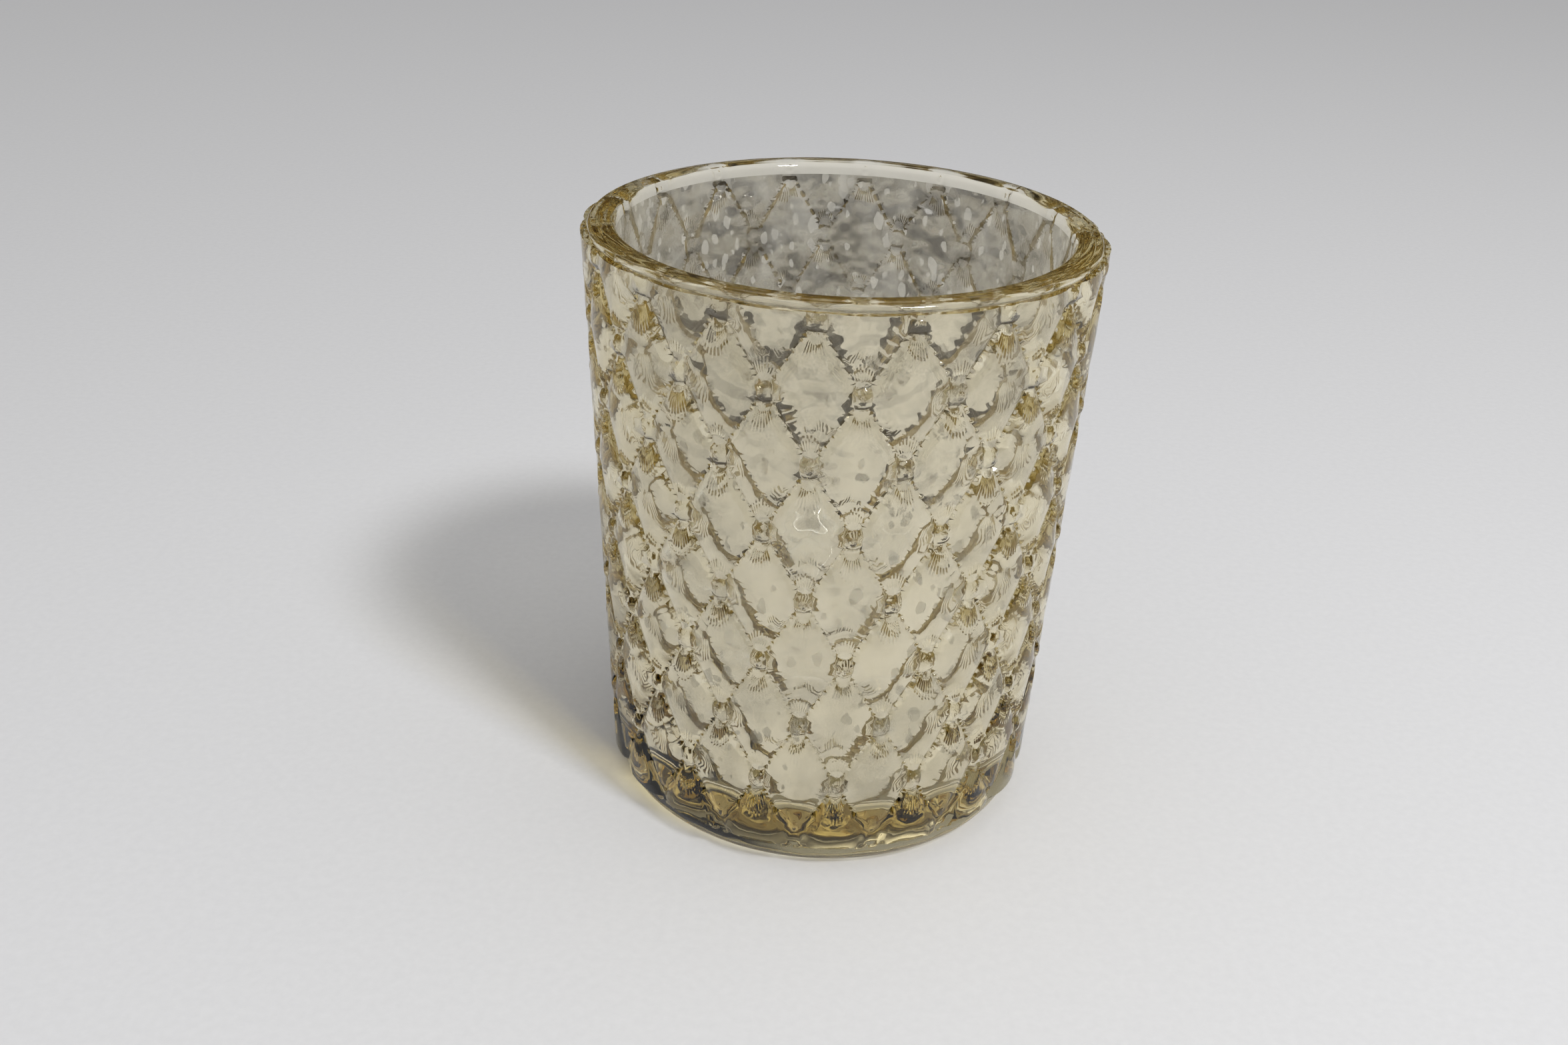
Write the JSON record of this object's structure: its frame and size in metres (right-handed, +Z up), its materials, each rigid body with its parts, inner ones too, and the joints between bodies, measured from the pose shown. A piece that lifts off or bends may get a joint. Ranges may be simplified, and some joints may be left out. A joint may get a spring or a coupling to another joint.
{
  "type": "tealight holder",
  "caption": "Straight-sided pressed-glass tealight cup with a quilted lozenge wall, silvered inside, holding a loose tealight that lifts out.",
  "frame": {"origin": "centre of the foot, on the surface the cup stands on", "axes": "+Z up along the cup's axis, towards the open rim; +X and +Y are level"},
  "size_m": [0.0586, 0.0588, 0.07],
  "materials": {
    "amber_glass": "fire-polished, pale amber tint",
    "silvering": "speckled silver mirror film",
    "tealight_aluminium": "bright drawn foil",
    "wax": "smooth cast paraffin, slightly translucent",
    "tinned_steel": "stamped tinplate",
    "cotton_wick": "braided cotton, waxed"
  },
  "bodies": {
    "holder": {"glass_cup": "amber_glass", "mirror_coating": "silvering"},
    "tealight": {"tealight_cup": "tealight_aluminium"},
    "candle": {"wax": "wax", "wick_tab": "tinned_steel", "wick": "cotton_wick"}
  },
  "joints": [
    {"name": "tealight_lift", "type": "slide", "parent": "holder", "child": "tealight", "axis": [0, 0, 1], "range_m": [0, 0.072]},
    {"name": "candle_lift", "type": "slide", "parent": "tealight", "child": "candle", "axis": [0, 0, 1], "range_m": [0, 0.02]}
  ]
}
